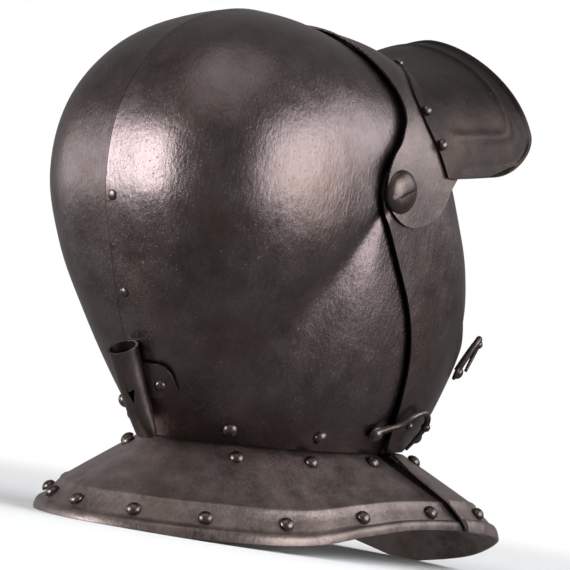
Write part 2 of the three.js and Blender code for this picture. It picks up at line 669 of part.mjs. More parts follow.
// A bent wire of round section through points given as forward, up and off the skull
function wire(route, radius, steps) {
  const spots = route.map(([forward, up, offset]) => viewSpot(forward, up, -1, offset).spot);
  const curve = new THREE.CatmullRomCurve3(spots);
  const section = new THREE.Shape();
  section.absarc(0, 0, radius, 0, Math.PI * 2);
  const options = { extrudePath: curve, steps, bevelEnabled: false, curveSegments: 3 };
  return toSolid(new THREE.ExtrudeGeometry(section, options));
}

function addHook(name, hook) {
  const { spot, normal } = viewSpot(hook.rivet.forward, hook.rivet.up, -1, hook.rivet.offset);
  const above = (lift) => spot.clone().addScaledVector(normal, lift);
  const disc = (radius, thick, lift) => {
    return stood(new THREE.CylinderGeometry(radius, radius, thick, 14), above(lift), normal);
  };
  const [forward, up, offset] = hook.tip[0];
  const knobSpot = viewSpot(forward, up, -1, offset).spot;
  const knob = new THREE.IcosahedronGeometry(HOOK_KNOB, 1);
  knob.translate(knobSpot.x, knobSpot.y, knobSpot.z);
  const eye = disc(HOOK_EYE_RADIUS, HOOK_EYE_WALL, HOOK_EYE_LIFT);
  const bent = wire(hook.route, HOOK_WIRE, 8).add(wire(hook.tip, HOOK_TIP_WIRE, 4));
  const bore = disc(HOOK_EYE_BORE, 6 * HOOK_EYE_WALL, HOOK_EYE_LIFT);
  add(name, toGeometry(bent.add(toSolid(knob)).add(eye).subtract(bore)));
  const stem = disc(HOOK_STEM_RADIUS, HOOK_STEM_LENGTH, GAP + HOOK_STEM_LENGTH / 2);
  const head = dome(above(HOOK_RIVET_LIFT), normal, HOOK_RIVET_RADIUS, HOOK_RIVET_HEIGHT);
  add(`${name}_rivet`, toGeometry(stem.add(head)), DARK_STEEL);
  if (!hook.stud) return;
  const stud = viewSpot(hook.stud.forward, hook.stud.up, -1, hook.stud.offset);
  addRivet(`${name}_stud`, stud, HOOK_STUD_RADIUS, HOOK_STUD_HEIGHT);
}

// The skull's back, as distance forward at a place to the side and a height
function backForward(side, up, offset) {
  let low = -220;
  let high = -40;
  for (let i = 0; i < 40; i += 1) {
    const middle = (low + high) / 2;
    if (side < sideAt(middle, up, offset)) high = middle;
    else low = middle;
  }
  return high;
}

// Plume holder: a tapered tube with a closed foot, on a tab riveted to the skull
function addPlumeHolder() {
  const mouth = place(PLUME_MOUTH.side, PLUME_MOUTH.forward, PLUME_MOUTH.up);
  const foot = place(PLUME_FOOT.side, PLUME_FOOT.forward, PLUME_FOOT.up);
  const length = mouth.distanceTo(foot);
  const profile = [
    [0, 0], [0.55, 0], [0.66, 0.12], [0.8, 0.5], [1, 1], [1 - PLUME_WALL / PLUME_RADIUS, 1],
    [0.8 - PLUME_WALL / PLUME_RADIUS, 0.5], [0.62 - PLUME_WALL / PLUME_RADIUS, 0.16], [0, 0.12],
  ];
  const points = profile.map(([across, up]) => new THREE.Vector2(across * PLUME_RADIUS, up * length));
  const tube = new THREE.LatheGeometry(points, 14);
  const tubeSolid = stood(tube, foot, mouth.clone().sub(foot).normalize());
  const at = (i, j, side) => {
    const across = PLUME_TAB.from + ((PLUME_TAB.to - PLUME_TAB.from) * j) / PLUME_TAB.steps;
    const round = j === PLUME_TAB.steps ? PLUME_TAB.round : 0;
    const up = i === 0 ? PLUME_TAB.high - round : PLUME_TAB.low + round;
    const offset = side === 0 ? PLUME_TAB.gap + PLUME_TAB.wall : PLUME_TAB.gap;
    return place(-across, backForward(across, up, offset), up);
  };
  const tab = toSolid(facingOut(sheet(1, PLUME_TAB.steps, at)));
  add('plume_holder', toGeometry(tubeSolid.add(tab)));
  const seat = seamSpot(PLUME_RIVET.angle, PLUME_RIVET.side, PLUME_TAB.gap + PLUME_TAB.wall);
  addRivet('plume_rivet', seat, PLUME_RIVET.radius, PLUME_RIVET.height);
}

addSkull();
addFacePlates();
addPeak();
addNeckPlates();
addScrews();
addHook('side_hook', SIDE_HOOK);
addHook('front_hook', FRONT_HOOK);
addPlumeHolder();
addRivets();

export default helmet;
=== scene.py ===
"""Cuirassier helmet: a close helmet of dark steel plates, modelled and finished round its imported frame."""

import functools
import json
import math
import random

import bmesh
import bpy
from mathutils import Matrix, Quaternion, Vector


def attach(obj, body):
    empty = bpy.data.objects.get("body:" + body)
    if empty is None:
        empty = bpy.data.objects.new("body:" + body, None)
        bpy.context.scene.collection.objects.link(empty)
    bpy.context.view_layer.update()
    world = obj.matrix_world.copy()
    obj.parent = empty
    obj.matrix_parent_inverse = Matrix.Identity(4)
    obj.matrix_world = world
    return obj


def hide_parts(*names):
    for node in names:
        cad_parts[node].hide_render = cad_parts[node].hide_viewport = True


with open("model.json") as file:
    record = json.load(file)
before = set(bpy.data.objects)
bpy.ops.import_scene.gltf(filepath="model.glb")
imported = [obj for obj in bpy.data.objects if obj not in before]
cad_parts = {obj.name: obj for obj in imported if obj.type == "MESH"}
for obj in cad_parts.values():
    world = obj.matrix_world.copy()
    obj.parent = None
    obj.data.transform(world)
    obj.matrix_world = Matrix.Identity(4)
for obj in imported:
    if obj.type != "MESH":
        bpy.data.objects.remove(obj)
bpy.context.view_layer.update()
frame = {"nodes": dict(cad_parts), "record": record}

# Skull
# Two halves raised from sheet steel, joined on a low keel that runs from the crown to the nape.
# The polished outside has darkened to a warm brown-grey with fine brushing, small pits and rust specks.
MM = 0.001
JOINTS = {joint["name"]: joint for joint in frame["record"]["behaviour"]["joints"]}
PIVOT = Vector(JOINTS["bevor_pivot"]["pos_m"])
LEAN = math.radians(4.4)
HALF_WIDTH = 97
NECK_LINE = -158
KEEL_HEIGHT = 2.2
KEEL_SPREAD = 16
KEEL_RISES = (84, 110)
KEEL_FADES = (205, 232)
SEAM_GAP = 0.3
SKULL_WALL = 1.8
PLATE_EDGE = 0.3
EDGE_STEPS = 2
EDGE_ANGLE = math.radians(50)
ROUND_STEPS = 216
CROSS_STEPS = 96
CURVE_STEPS = 6
CORNER_TURN = math.radians(55)
LONG_RUN = 3
CUTTER_REACH = 180

# Outline of the head in the middle plane as reach from the pivot axis (0 is forward, 90 up, 180 back),
# and how full its section is.
HEAD = [
    # angle, reach, fullness
    (-98, 189, 2.2), (-75, 191, 2.7), (-62, 185, 3.1), (-50, 170, 3.2), (-36, 154, 3.2), (-24, 136, 3.0),
    (-10, 118, 2.7), (8, 104, 2.5), (35, 97, 2.3), (65, 93, 2.2), (85, 92, 2.15), (105, 101, 2.15),
    (125, 113, 2.35), (145, 127, 2.6), (165, 137, 2.85), (185, 139, 3.0), (205, 139, 2.8), (222, 150, 2.2),
    (240, 172, 1.7),
]
SKULL_OUTLINE = [
    # forward and up of the pivot in the side view, as in every outline below
    (36, 220), (30, 92), (26, 60), (22, 25), (22, 0), (20, -20), (26, -43), (38, -70), (50, -98), (56, -123),
    (56.5, -143), (54, NECK_LINE), (-260, NECK_LINE), (-260, 220),
]


def smoothstep(value, low, high):
    """A smooth rise from 0 to 1 between two values."""
    t = min(max((value - low) / (high - low), 0), 1)
    return t * t * (3 - 2 * t)


def between(a, b, start, end, t):
    """A cubic from one value to another, with a slope at each end."""
    h = t * t * (3 - 2 * t)
    return a * (1 - h) + b * h + start * t * (1 - t) ** 2 + end * t * t * (t - 1)


def along(table, column, value, turn=0):
    """A smooth curve through one column of a table, by its first; turn closes it after so many degrees."""
    first, last = table[0], table[-1]
    before, after = [first], [last]
    if turn:
        value = (value - first[0]) % turn + first[0]
        before = [(last[0] - turn, *last[1:])]
        after = [(row[0] + turn, *row[1:]) for row in table[:2]]
    rows = before + table + after
    i = 1
    while i < len(rows) - 3 and rows[i + 1][0] <= value:
        i += 1
    a, b, c, d = rows[i - 1:i + 3]
    span = c[0] - b[0]
    t = min(max((value - b[0]) / span, 0), 1)
    rise = (c[column] - b[column]) / span

    def slope(step, width):
        """The slope at a row, from the rise on both sides of it."""
        if width == 0:
            return rise
        return (step / width * span + rise * width) / (span + width)

    start = slope(b[column] - a[column], b[0] - a[0]) * span
    end = slope(d[column] - c[column], d[0] - c[0]) * span
    return between(b[column], c[column], start, end, t)


def place(side, forward, up):
    """From millimetres to the side, forward and up of the pivot to the frame, in the helmet's own lean."""
    y = -forward * math.cos(LEAN) + up * math.sin(LEAN)
    z = up * math.cos(LEAN) + forward * math.sin(LEAN)
    return PIVOT + Vector((side, y, z)) * MM


def keel_at(angle, side):
    """Height of the keel's crest over the head's round form."""
    turned = angle % 360
    length = smoothstep(turned, *KEEL_RISES) * (1 - smoothstep(turned, *KEEL_FADES))
    return KEEL_HEIGHT * length * math.exp(-abs(side) / KEEL_SPREAD)


def head_point(angle, cross, offset):
    """A point of the head: angle round the pivot axis, cross from -90 (right) to 90 (left)."""
    power = 2 / along(HEAD, 2, angle, 360)
    c = max(math.cos(math.radians(cross)), 0) ** power
    s = abs(math.sin(math.radians(cross))) ** power
    side = math.copysign((HALF_WIDTH + offset) * s, cross)
    reach = (along(HEAD, 1, angle, 360) + offset) * c + keel_at(angle, side)
    return place(side, reach * math.cos(math.radians(angle)), reach * math.sin(math.radians(angle)))


def eased(outline):
    """The outline with curves through its points, but straight where it turns sharply or runs far."""
    count = len(outline)
    points = [Vector(p) for p in outline]
    tangents = []
    for i in range(count):
        before = points[i] - points[i - 1]
        after = points[(i + 1) % count] - points[i]
        short, far = sorted((before.length, after.length))
        if before.angle(after) > CORNER_TURN or far > LONG_RUN * short:
            tangents.append(None)
        else:
            tangents.append((before.normalized() + after.normalized()).normalized())
    result = []
    for i in range(count):
        a, b = points[i], points[(i + 1) % count]
        length = (b - a).length
        start = (tangents[i] or (b - a).normalized()) * length
        end = (tangents[(i + 1) % count] or (b - a).normalized()) * length
        for k in range(CURVE_STEPS):
            result.append(between(a, b, start, end, k / CURVE_STEPS))
    return result


def finished(name, bm, body, nodes, material):
    """The piece's object, on its body, standing for its nodes."""
    mesh = bpy.data.meshes.new(name)
    bm.to_mesh(mesh)
    bm.free()
    mesh.shade_smooth()
    piece = bpy.data.objects.new(name, mesh)
    bpy.context.collection.objects.link(piece)
    mesh.materials.append(material)
    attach(piece, body)
    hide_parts(*nodes)
    return piece


def cut_by(bm, cutter, operation):
    """The mesh joined with a cutter by a boolean; faces that come from the cutter have material 1."""
    objects = []
    for source in (bm, cutter):
        mesh = bpy.data.meshes.new("blank")
        source.to_mesh(mesh)
        source.free()
        mesh.materials.append(None)
        mesh.materials.append(None)
        objects.append(bpy.data.objects.new("blank", mesh))
        bpy.context.collection.objects.link(objects[-1])
    modifier = objects[0].modifiers.new("cut", "BOOLEAN")
    modifier.object = objects[1]
    modifier.operation = operation
    modifier.solver = "EXACT"
    result = bmesh.new()
    result.from_object(objects[0], bpy.context.evaluated_depsgraph_get())
    for blank in objects:
        mesh = blank.data
        bpy.data.objects.remove(blank)
        bpy.data.meshes.remove(mesh)
    return result


def head_sheet(outline, offset, slits=()):
    """A sheet of the head's surface inside a side view outline, with any slits cut out of it."""
    bm = bmesh.new()
    bmesh.ops.create_uvsphere(bm, u_segments=ROUND_STEPS, v_segments=CROSS_STEPS, radius=1)
    for vert in bm.verts:
        angle = math.degrees(math.atan2(vert.co.y, vert.co.x))
        cross = math.degrees(math.asin(min(max(vert.co.z, -1), 1)))
        lift = offset(angle, cross) if callable(offset) else offset
        vert.co = head_point(angle, cross, lift)
    bmesh.ops.recalc_face_normals(bm, faces=bm.faces)
    cutter = bmesh.new()
    ring = [cutter.verts.new(place(-CUTTER_REACH, p.x, p.y)) for p in eased(outline)]
    face = cutter.faces.new(ring)
    grown = bmesh.ops.extrude_face_region(cutter, geom=[face])
    moved = [item for item in grown["geom"] if isinstance(item, bmesh.types.BMVert)]
    bmesh.ops.translate(cutter, verts=moved, vec=(2 * CUTTER_REACH * MM, 0, 0))
    bmesh.ops.recalc_face_normals(cutter, faces=cutter.faces)
    for item in cutter.faces:
        item.material_index = 1
    sheet = cut_by(bm, cutter, "INTERSECT")
    for slit in slits:
        sheet = cut_by(sheet, slit, "DIFFERENCE")
    walls = [item for item in sheet.faces if item.material_index == 1]
    bmesh.ops.delete(sheet, geom=walls, context="FACES")
    return sheet


def rounded(piece, width):
    """Rounds the sharp edges of a closed piece."""
    bevel = piece.modifiers.new("edge", "BEVEL")
    bevel.width = width * MM
    bevel.segments = EDGE_STEPS
    bevel.limit_method = "ANGLE"
    bevel.angle_limit = EDGE_ANGLE
    bevel.harden_normals = True


def thickened(piece, wall):
    """Gives a sheet its wall, inwards, and rounds its edges."""
    solid = piece.modifiers.new("wall", "SOLIDIFY")
    solid.thickness = wall * MM
    solid.offset = -1
    solid.use_even_offset = True
    rounded(piece, PLATE_EDGE)


GRAINS = {
    # scale, detail and roughness of each pattern in the worn steel
    "brushing": (700, 3, 0.6),
    "hammering": (95, 2, 0.45),
    "planishing": (540, 3, 0.55),
    "clouds": (13, 5, 0.62),
    "mottle": (62, 4, 0.6),
    "pits": (760, 2, 0.5),
    "stain": (21, 4, 0.6),
    "specks": (520, 3, 0.55),
    "bloom": (30, 6, 0.7),
}
BRUSHED_UPWARDS = (1, 1, 0.05)
PLANISHED_UPWARDS = (1, 1, 0.55)
STAIN_BROWN = (0.105, 0.072, 0.052, 1)
RUST_BROWN = (0.16, 0.075, 0.032, 1)
BUMP_STRENGTH = 0.55
BUMP_DISTANCE = 0.0006


class Value:
    """A socket of a material: arithmetic on it adds Math nodes."""

    def __init__(self, paint, socket):
        self.paint = paint
        self.socket = socket

    def joined(self, operation, left, right):
        return self.paint.node("ShaderNodeMath", {"operation": operation}, {0: left, 1: right})

    def __add__(self, other):
        return self.joined("ADD", self, other)

    __radd__ = __add__

    def __sub__(self, other):
        return self.joined("SUBTRACT", self, other)

    def __rsub__(self, other):
        return self.joined("SUBTRACT", other, self)

    def __mul__(self, other):
        return self.joined("MULTIPLY", self, other)

    __rmul__ = __mul__


class Paint:
    """A material with an empty Principled shader, and one method that adds any other node."""

    def __init__(self, name):
        self.material = bpy.data.materials.new(name)
        self.material.use_nodes = True
        self.tree = self.material.node_tree
        self.shader = self.tree.nodes["Principled BSDF"]

    def node(self, kind, settings, inputs, output=0):
        item = self.tree.nodes.new(kind)
        for key, value in settings.items():
            if key != "stops":
                setattr(item, key, value)
                continue
            for stop, (position, grey) in zip(item.color_ramp.elements, value):
                stop.position = position
                stop.color = (grey, grey, grey, 1)
        self.fill(item, inputs)
        return Value(self, item.outputs[output])

    def fill(self, item, inputs):
        for key, value in inputs.items():
            if isinstance(value, Value):
                self.tree.links.new(value.socket, item.inputs[key])
            else:
                item.inputs[key].default_value = value

    def noise(self, where, grain):
        scale, detail, roughness = GRAINS[grain]
        inputs = {"Vector": where, "Scale": scale, "Detail": detail, "Roughness": roughness}
        return self.node("ShaderNodeTexNoise", {}, inputs)

    def ramp(self, value, low, high):
        return self.node("ShaderNodeValToRGB", {"stops": [(low, 0), (high, 1)]}, {"Fac": value})

    def mix(self, factor, first, second):
        return self.node("ShaderNodeMix", {"data_type": "RGBA"}, {0: factor, 6: first, 7: second}, 2)


def worn_steel(name, dark, light, rough, rust, dents, metal=1.0):
    """Old polished steel: hammer marks, brushing, pits, cloudy tone and rust specks."""
    paint = Paint(name)
    where = paint.node("ShaderNodeTexCoord", {}, {}, "Object")
    drawn = paint.node("ShaderNodeMapping", {}, {"Vector": where, "Scale": BRUSHED_UPWARDS})
    beaten = paint.node("ShaderNodeMapping", {}, {"Vector": where, "Scale": PLANISHED_UPWARDS})
    brushing = paint.noise(drawn, "brushing")
    hammering = paint.noise(where, "hammering")
    planishing = paint.noise(beaten, "planishing")
    clouds = paint.noise(where, "clouds")
    mottle = paint.noise(where, "mottle")
    pits = paint.ramp(paint.noise(where, "pits"), low=0.64, high=0.74)
    stain = paint.ramp(paint.noise(where, "stain"), low=0.5, high=0.72)
    patches = paint.ramp(mottle, low=0.42, high=0.62)
    specks = paint.ramp(paint.noise(where, "specks"), low=0.67, high=0.72) * patches
    bloom = paint.ramp(paint.noise(where, "bloom"), low=0.6, high=0.8)
    tone = paint.ramp(clouds * 0.5 + mottle * 0.3 + brushing * 0.2, low=0.38, high=0.64)
    steel = paint.mix(tone, (*dark, 1), (*light, 1))
    brown = paint.mix(stain * (0.35 + rust), steel, STAIN_BROWN)
    rusted = specks * 0.75 + bloom * rust
    colour = paint.mix(rusted, brown, RUST_BROWN)
    height = hammering * (0.85 * dents) + planishing * (0.6 * dents) + brushing * 0.1 - pits * 0.18
    relief = {"Strength": BUMP_STRENGTH, "Distance": BUMP_DISTANCE, "Height": height}
    bump = paint.node("ShaderNodeBump", {}, relief)
    roughness = rough + 0.16 * mottle + 0.1 * brushing - 0.12 + 0.2 * rusted + 0.1 * pits
    paint.fill(paint.shader, {
        "Base Color": colour, "Roughness": roughness, "Metallic": metal - 0.6 * rusted, "Normal": bump,
    })
    return paint.material


skull_steel = worn_steel("skull_steel", dark=(0.078, 0.059, 0.058), light=(0.15, 0.12, 0.12), rough=0.34,
                         rust=0.05, dents=1)
for skull_name, hand in (("skull_right", -1), ("skull_left", 1)):
    sheet = head_sheet(SKULL_OUTLINE, 0)
    geometry = sheet.verts[:] + sheet.edges[:] + sheet.faces[:]
    seam = (hand * SEAM_GAP / 2 * MM, 0, 0)
    bmesh.ops.bisect_plane(sheet, geom=geometry, plane_co=seam, plane_no=(-hand, 0, 0), clear_outer=True)
    half = finished(skull_name + "_half", sheet, "skull", [skull_name], skull_steel)
    thickened(half, SKULL_WALL)

# Bevor, visor and brow plate
# Three plates of sheet steel that turn on the side pivots, one over the other: the visor lies innermost,
# the bevor over it, and the rounded arms of the brow plate cover both at the pivots.
PLATE_WALL = 1.2
VISOR_OFFSET = 0.48
BEVOR_OFFSET = 3
BROW_PIVOT_OFFSET = 5.5
BROW_CROWN_OFFSET = 2.4
BROW_FRONT_RISE = 2.8
BROW_TEMPLE_RISE = 5
BROW_PIVOT_CROSS = (50, 80)
BROW_FRONT_ANGLES = (58, 88)
BROW_TEMPLE_ANGLES = (18, 62)
BROW_TEMPLE_CROSS = (28, 52)
SIGHT_WIDTH = 46
SIGHT_HEIGHT = 6
SIGHT_DEPTH = 90
SIGHT_ROUND = 2.7
SIGHT_ROUND_STEPS = 4
SIGHT_SIDE = 36
SIGHT_FORWARD = 100
SIGHT_UP = 16
BEVOR_OUTLINE = [
    (-11, 11), (-13.5, 1), (-11.5, -9), (-4.5, -20), (9.5, -43), (18.5, -57), (25, -68.5), (32, -84.5),
    (36, -98), (41, -123), (45.5, -143), (49, -151), (53, -157), (260, -157), (260, -112), (125, -104),
    (104, -91), (92.5, -78), (81, -60), (73.5, -42), (68, -24), (63, -9), (55, 4), (36, 12), (10, 15),
]
VISOR_OUTLINE = [
    (-9, 9), (-12, -2), (-5, -10), (20, -9), (44, -2), (56.5, 4), (64.5, -9), (69.5, -24), (75, -42),
    (82.5, -60), (94, -77.5), (105, -90), (126, -103), (260, -111), (260, 260), (66, 84), (50, 66), (41, 50),
    (40, 32), (42, 16), (26, 11), (4, 12),
]
BROW_OUTLINE = [
    (4, 220), (6, 92), (10, 73), (13, 57), (10, 43), (6, 37), (0, 28.5), (-7, 21), (-11.5, 13), (-13, 5),
    (-10.5, -6), (-5, -12.5), (2, -17.5), (11.5, -20), (22.5, -18.5), (33.5, -14), (42, -8.5), (51.5, 5),
    (59, 12), (51, 30), (47, 46), (52, 60), (64, 68), (80, 76), (140, 220),
]


def brow_offset(angle, cross):
    """How far the brow plate stands off the head: further at the pivots and temples."""
    turned = (angle + 180) % 360 - 180
    pivot = smoothstep(abs(cross), *BROW_PIVOT_CROSS)
    front = 1 - smoothstep(turned, *BROW_FRONT_ANGLES)
    temple = (1 - smoothstep(turned, *BROW_TEMPLE_ANGLES)) * smoothstep(abs(cross), *BROW_TEMPLE_CROSS)
    crown = BROW_CROWN_OFFSET + BROW_FRONT_RISE * front + BROW_TEMPLE_RISE * temple
    return crown + (BROW_PIVOT_OFFSET - crown) * pivot


def brow_outer(angle, cross):
    """The brow plate's outer face."""
    return brow_offset(angle, cross) + PLATE_WALL


face_steel = worn_steel("face_steel", dark=(0.058, 0.045, 0.043), light=(0.11, 0.088, 0.086), rough=0.38,
                        rust=0.06, dents=0.8)
# The brow plate is the same steel as the bevor and visor, but its tones are set lighter: painted light, for
# the brighter light that falls on it.
brow_steel_painted_light = worn_steel("brow_steel_painted_light", dark=(0.1, 0.079, 0.075), light=(0.175, 0.142, 0.137), rough=0.4,
                        rust=0.06, dents=0.7)
bevor_sheet = head_sheet(BEVOR_OUTLINE, BEVOR_OFFSET + PLATE_WALL)
bevor_plate = finished("bevor_plate", bevor_sheet, "bevor", ["bevor"], face_steel)
thickened(bevor_plate, PLATE_WALL)
brow_sheet = head_sheet(BROW_OUTLINE, brow_outer)
brow_plate = finished("brow_plate_shell", brow_sheet, "peak", ["brow_plate"], brow_steel_painted_light)
thickened(brow_plate, PLATE_WALL)
sights = []
for hand in (-1, 1):
    slit = bmesh.new()
    bmesh.ops.create_cube(slit, size=1)
    bmesh.ops.scale(slit, verts=slit.verts, vec=(SIGHT_WIDTH * MM, SIGHT_DEPTH * MM, SIGHT_HEIGHT * MM))
    corners = [edge for edge in slit.edges if edge.verts[0].co.y * edge.verts[1].co.y < 0]
    bmesh.ops.bevel(slit, geom=corners, offset=SIGHT_ROUND * MM, affect="EDGES", segments=SIGHT_ROUND_STEPS,
                    profile=0.5, material=-1)
    bmesh.ops.transform(slit, matrix=Matrix.Rotation(-LEAN, 4, "X"), verts=slit.verts)
    bmesh.ops.translate(slit, verts=slit.verts, vec=place(hand * SIGHT_SIDE, SIGHT_FORWARD, SIGHT_UP))
    for face in slit.faces:
        face.material_index = 1
    sights.append(slit)
visor_sheet = head_sheet(VISOR_OUTLINE, VISOR_OFFSET + PLATE_WALL, sights)
visor_plate = finished("visor_plate", visor_sheet, "visor", ["visor"], face_steel)
thickened(visor_plate, PLATE_WALL)

# Peak
# An arched hood of dark sheet steel, riveted to the brow plate by a narrow flange that is bedded on it; its
# colour is made darker still than the other plates' by painted shade.
# A soft ridge runs round inside its edge, and the edge itself is turned over.
HALVINGS = 30
MERGE_DISTANCE = 1e-6
PEAK_WALL = 1.5
PEAK_BEDDING = 0.1
PEAK_BASE = [
    # up, forward
    (0, 62), (11, 55), (29, 45), (50, 36), (64, 38), (74, 48), (82, 64), (100, 96),
]
PEAK_FOOT = 12
PEAK_HALF_WIDTH = 81
PEAK_EDGE_FOOT = 39
PEAK_EDGE_RISE = 60
PEAK_EDGE_FULLNESS = 1.7
PEAK_EDGE_FORWARD = 150
PEAK_EDGE_SET_BACK = 15
PEAK_EDGE_DROP = 17
PEAK_EDGE_DROP_POWER = 7
PEAK_EDGE_ROUND = 0.4
PEAK_CORNER_BEARING = 15
PEAK_CORNER_LENGTH = 0.54
PEAK_FLANGE = 10
PEAK_FLANGE_STEPS = 4
PEAK_FREE = (0.06, 0.2)
PEAK_REACH = 160
PEAK_ROLL = 1.3
PEAK_ROLL_FROM, PEAK_ROLL_TO = 2.5, 4
PEAK_DEPTH = 100
PEAK_ARC = 1.5
PEAK_EDGE_BLEND = 5
RIDGE_INSIDE = 21
RIDGE_HEIGHT = 1.3
RIDGE_SPREAD = 3
PEAK_BEARINGS = 180
PEAK_LENGTHS = 64
PEAK_LENGTHS_CROWD = 1.3


def side_at(forward, up, offset):
    """How far to the side the head's surface lies at a point of the side view."""
    angle = math.degrees(math.atan2(up, forward))
    fullness = along(HEAD, 2, angle, 360)
    ratio = math.hypot(forward, up) / (along(HEAD, 1, angle, 360) + offset)
    return (HALF_WIDTH + offset) * max(1 - ratio ** fullness, 0) ** (1 / fullness)


def brow_side(forward, up, lift):
    """The same for the face of the brow plate that carries the peak."""
    angle = math.degrees(math.atan2(up, forward))
    bare = side_at(forward, up, 0) / HALF_WIDTH
    cross = math.degrees(math.asin(bare ** (along(HEAD, 2, angle, 360) / 2)))
    return side_at(forward, up, brow_outer(angle, cross) - PEAK_BEDDING + lift)


def last_inside(near, far, inside):
    """The place between two values where a test stops being true."""
    for _ in range(HALVINGS):
        middle = (near + far) / 2
        near, far = (middle, far) if inside(middle) else (near, middle)
    return near


@functools.lru_cache(None)
def peak_base(bearing, back, lift):
    """Where the peak's root meets the brow plate, along a bearing from its foot."""
    sine, cosine = math.sin(math.radians(abs(bearing))), math.cos(math.radians(bearing))

    def root(reach):
        """Forward and up at a reach along the bearing."""
        up = PEAK_FOOT + reach * cosine
        return along(PEAK_BASE, 1, up) - back, up

    reach = last_inside(0, PEAK_REACH, lambda reach: reach * sine < brow_side(*root(reach), lift))
    return Vector((math.copysign(reach * sine, bearing), *root(reach)))


def peak_edge(bearing):
    """The peak's front edge along the same bearing."""
    power = 2 / PEAK_EDGE_FULLNESS
    c = max(math.cos(math.radians(bearing)), 0) ** power
    s = abs(math.sin(math.radians(bearing))) ** power
    forward = PEAK_EDGE_FORWARD - PEAK_EDGE_SET_BACK * c
    drop = PEAK_EDGE_DROP * abs(bearing / 90) ** PEAK_EDGE_DROP_POWER
    up = PEAK_EDGE_FOOT + PEAK_EDGE_RISE * c - drop
    return Vector((math.copysign(PEAK_HALF_WIDTH * s, bearing), forward, up))


def peak_corner(bearing, length):
    """Bearing and length near a front corner, drawn in from a square to a circle."""
    x = 1 - (90 - abs(bearing)) / PEAK_CORNER_BEARING
    y = 1 - (1 - length) / PEAK_CORNER_LENGTH
    if x <= 0 or y <= 0:
        return bearing, length
    drawn_x = x * math.sqrt(1 - y * y / 2)
    drawn_y = y * math.sqrt(1 - x * x / 2)
    turned = 90 - PEAK_CORNER_BEARING * (1 - drawn_x)
    return math.copysign(turned, bearing), 1 - PEAK_CORNER_LENGTH * (1 - drawn_y)


def peak_inside(bearing, length):
    """Distance from the nearest edge of the peak, before its corners are rounded."""
    front = (1 - length) * PEAK_DEPTH
    below = (90 - abs(bearing)) * PEAK_ARC
    near = math.exp(-front / PEAK_EDGE_BLEND) + math.exp(-below / PEAK_EDGE_BLEND)
    return -PEAK_EDGE_BLEND * math.log(near)


def peak_line(bearing, lift):
    """Points of one face of the peak along a bearing, from its flange to its edge."""
    points = []
    for step in range(PEAK_FLANGE_STEPS):
        points.append(peak_base(bearing, PEAK_FLANGE * (1 - step / PEAK_FLANGE_STEPS), lift))
    for step in range(PEAK_LENGTHS + 1):
        length = 1 - (1 - step / PEAK_LENGTHS) ** PEAK_LENGTHS_CROWD
        turned, drawn = peak_corner(bearing, length)
        base, edge = peak_base(turned, 0, lift), peak_edge(turned)
        out = Vector((math.sin(math.radians(turned)), 0, math.cos(math.radians(turned))))
        inside = peak_inside(bearing, length)
        rolled = PEAK_ROLL * (1 - smoothstep(inside, PEAK_ROLL_FROM, PEAK_ROLL_TO))
        ridge = RIDGE_HEIGHT * math.exp(-((inside - RIDGE_INSIDE) / RIDGE_SPREAD) ** 2)
        side = 1 if lift else -1
        free = smoothstep(length, *PEAK_FREE)
        points.append(base.lerp(edge, drawn) + out * (lift * drawn + free * (ridge + side * rolled)))
    return points


def looped(bearings, line):
    """A closed mesh from a grid whose columns are loops round the section of a bent plate."""
    columns = [line(bearing) for bearing in bearings]
    bm = bmesh.new()
    rows = len(columns[0])
    bmesh.ops.create_grid(bm, x_segments=len(columns) - 1, y_segments=rows, size=0.5)
    for vert in bm.verts:
        column = round((vert.co.x + 0.5) * (len(columns) - 1))
        row = round((vert.co.y + 0.5) * rows) % rows
        vert.co = place(*columns[column][row])
    bmesh.ops.remove_doubles(bm, verts=bm.verts, dist=MERGE_DISTANCE)
    rims = [edge for edge in bm.edges if edge.is_boundary]
    bmesh.ops.holes_fill(bm, edges=rims, sides=0)
    bmesh.ops.recalc_face_normals(bm, faces=bm.faces)
    return bm


def peak_loop(bearing):
    """The section of the peak: out along its upper face and back along its lower one."""
    return peak_line(bearing, PEAK_WALL) + list(reversed(peak_line(bearing, 0)))


# The peak's steel tones are set far darker than the other plates': painted shade, for the shade that lies on
# the hood.
peak_steel = worn_steel("peak_steel", dark=(0.02, 0.015, 0.014), light=(0.042, 0.032, 0.03), rough=0.46,
                        rust=0.04, dents=0.8)
peak_bearings = [180 * i / PEAK_BEARINGS - 90 for i in range(PEAK_BEARINGS + 1)]
peak_mesh = looped(peak_bearings, peak_loop)
peak_hood = finished("peak_hood", peak_mesh, "peak", ["peak"], peak_steel)
rounded(peak_hood, PEAK_EDGE_ROUND)

